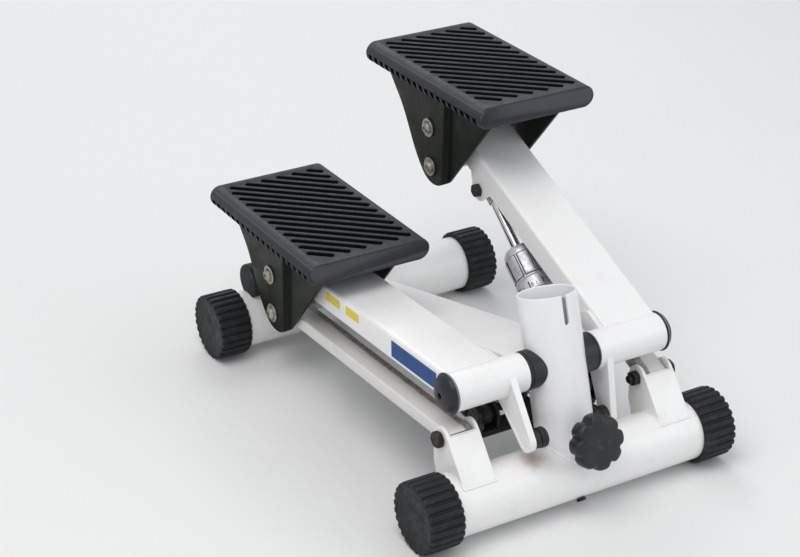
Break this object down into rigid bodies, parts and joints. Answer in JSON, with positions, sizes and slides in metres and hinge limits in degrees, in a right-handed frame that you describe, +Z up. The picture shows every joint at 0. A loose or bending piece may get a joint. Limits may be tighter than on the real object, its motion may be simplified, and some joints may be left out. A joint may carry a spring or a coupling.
{
  "type": "mini stepper",
  "caption": "Compact under-desk stepper: foot plates on linked lever arms over a tubular base, oil dampers, rocker, a short post with a hand knob.",
  "frame": {"origin": "centre of the footprint's box, on the floor", "axes": "+X to the right of someone facing the knob's side, +Y from the knob's side towards the pedals, +Z up"},
  "size_m": [0.35, 0.517, 0.3271],
  "materials": {
    "black_paint": "satin black",
    "black_rubber": "matt ribbed",
    "white_paint": "glossy warm white",
    "black_plastic": "satin moulded",
    "zinc_steel": "dull zinc plating",
    "chrome": "polished",
    "satin_metal": "satin",
    "grey_plastic": "fine grained charcoal"
  },
  "bodies": {
    "base": {"front_tube": "white_paint", "rear_tube": "white_paint", "front_cap_left": "black_rubber", "front_cap_right": "black_rubber", "rear_cap_left": "black_rubber", "rear_cap_right": "black_rubber", "post": "white_paint", "spine": "white_paint", "pivot_shaft": "zinc_steel", "cross_bar": "black_paint", "rocker_pin": "zinc_steel", "rear_stop": "black_rubber", "tube_screw": "zinc_steel", "left_spacer": "black_plastic", "left_clevis": "white_paint", "left_clevis_bolt": "zinc_steel", "left_damper_mount": "black_paint", "right_spacer": "black_plastic", "right_clevis": "white_paint", "right_clevis_bolt": "zinc_steel", "right_damper_mount": "black_paint"},
    "left_arm": {"left_sleeve": "white_paint", "left_bush": "black_plastic", "left_end_cap": "black_plastic", "left_arm_channel": "white_paint", "left_lever": "white_paint", "left_lever_stop": "black_rubber", "left_damper_bolt": "zinc_steel"},
    "left_bar": {"left_lower_bar": "white_paint"},
    "left_pedal": {"left_carrier": "black_paint", "left_tread": "grey_plastic", "left_upper_bolt": "zinc_steel", "left_lower_bolt": "zinc_steel"},
    "left_link": {"left_link": "black_paint"},
    "left_cylinder": {"left_damper_body": "black_paint"},
    "left_dial": {"left_dial": "satin_metal"},
    "left_rod": {"left_damper_rod": "chrome"},
    "right_arm": {"right_sleeve": "white_paint", "right_bush": "black_plastic", "right_end_cap": "black_plastic", "right_arm_channel": "white_paint", "right_lever": "white_paint", "right_lever_stop": "black_rubber", "right_damper_bolt": "zinc_steel"},
    "right_bar": {"right_lower_bar": "white_paint"},
    "right_pedal": {"right_carrier": "black_paint", "right_tread": "grey_plastic", "right_upper_bolt": "zinc_steel", "right_lower_bolt": "zinc_steel"},
    "right_link": {"right_link": "black_paint"},
    "right_cylinder": {"right_damper_body": "black_paint"},
    "right_dial": {"right_dial": "satin_metal"},
    "right_rod": {"right_damper_rod": "chrome"},
    "rocker": {"rocker": "black_paint", "left_stud": "zinc_steel", "right_stud": "zinc_steel"},
    "knob": {"knob": "black_plastic", "knob_screw": "zinc_steel"}
  },
  "joints": [
    {"name": "left_arm_pivot", "type": "hinge", "parent": "base", "child": "left_arm", "pos_m": [0, -0.17255, 0.1367], "axis": [1, 0, 0], "range_deg": [0, 25.1]},
    {"name": "right_arm_pivot", "type": "hinge", "parent": "base", "child": "right_arm", "pos_m": [0, -0.17255, 0.1367], "axis": [1, 0, 0], "range_deg": [-25.1, 0]},
    {"name": "left_bar_pivot", "type": "hinge", "parent": "base", "child": "left_bar", "pos_m": [0, -0.17715, 0.0942], "axis": [1, 0, 0], "range_deg": [0, 25.1]},
    {"name": "left_pedal_pivot", "type": "hinge", "parent": "left_arm", "child": "left_pedal", "pos_m": [0, 0.14814, 0.1227], "axis": [1, 0, 0], "range_deg": [-25.1, 0]},
    {"name": "left_link_pivot", "type": "hinge", "parent": "left_arm", "child": "left_link", "pos_m": [0, -0.21685, 0.09051], "axis": [1, 0, 0], "range_deg": [-16.71, 0.02]},
    {"name": "left_damper_foot", "type": "hinge", "parent": "base", "child": "left_cylinder", "pos_m": [-0.058, -0.14035, 0.079], "axis": [1, 0, 0], "range_deg": [-0.02, 26.15]},
    {"name": "left_damper_stroke", "type": "slide", "parent": "left_cylinder", "child": "left_rod", "axis": [-0.0487, 0.9888, 0.1412], "range_m": [-0.00001, 0.02848]},
    {"name": "left_dial_turn", "type": "hinge", "parent": "left_cylinder", "child": "left_dial", "pos_m": [-0.058, -0.14035, 0.079], "axis": [-0.0487, 0.9888, 0.1412], "range_deg": [0, 270]},
    {"name": "right_bar_pivot", "type": "hinge", "parent": "base", "child": "right_bar", "pos_m": [0, -0.17715, 0.0942], "axis": [1, 0, 0], "range_deg": [-25.1, 0]},
    {"name": "right_pedal_pivot", "type": "hinge", "parent": "right_arm", "child": "right_pedal", "pos_m": [0, 0.1238, 0.26006], "axis": [1, 0, 0], "range_deg": [0, 25.1]},
    {"name": "right_link_pivot", "type": "hinge", "parent": "right_arm", "child": "right_link", "pos_m": [0, -0.19307, 0.07608], "axis": [1, 0, 0], "range_deg": [-0.02, 16.71]},
    {"name": "right_damper_foot", "type": "hinge", "parent": "base", "child": "right_cylinder", "pos_m": [0.058, -0.14035, 0.079], "axis": [1, 0, 0], "range_deg": [-26.15, 0.02]},
    {"name": "right_damper_stroke", "type": "slide", "parent": "right_cylinder", "child": "right_rod", "axis": [0.0487, 0.8255, 0.5622], "range_m": [-0.02848, 0.00001]},
    {"name": "right_dial_turn", "type": "hinge", "parent": "right_cylinder", "child": "right_dial", "pos_m": [0.058, -0.14035, 0.079], "axis": [0.0487, 0.8255, 0.5622], "range_deg": [0, 270]},
    {"name": "rocker_pivot", "type": "hinge", "parent": "base", "child": "rocker", "pos_m": [0, -0.10683, 0.067], "axis": [0, 0, 1], "range_deg": [-50.04, 0.02]},
    {"name": "knob_turn", "type": "hinge", "parent": "base", "child": "knob", "pos_m": [0, -0.19284, 0.06994], "axis": [0, -0.9568, 0.2907], "continuous": true}
  ],
  "couplings": [
    {"joint": "right_arm_pivot", "follows": "left_arm_pivot", "ratio": -1},
    {"joint": "left_bar_pivot", "follows": "left_arm_pivot", "ratio": 1},
    {"joint": "left_pedal_pivot", "follows": "left_arm_pivot", "ratio": -1},
    {"joint": "left_link_pivot", "follows": "left_arm_pivot", "ratio": -0.66497},
    {"joint": "left_damper_foot", "follows": "left_arm_pivot", "ratio": 1.041},
    {"joint": "left_damper_stroke", "follows": "left_arm_pivot", "m_per_rad": 0.064996},
    {"joint": "right_bar_pivot", "follows": "left_arm_pivot", "ratio": -1},
    {"joint": "right_pedal_pivot", "follows": "left_arm_pivot", "ratio": 1},
    {"joint": "right_link_pivot", "follows": "left_arm_pivot", "ratio": 0.66497},
    {"joint": "right_damper_foot", "follows": "left_arm_pivot", "ratio": -1.041},
    {"joint": "right_damper_stroke", "follows": "left_arm_pivot", "m_per_rad": -0.064996},
    {"joint": "rocker_pivot", "follows": "left_arm_pivot", "ratio": -1.9927}
  ]
}
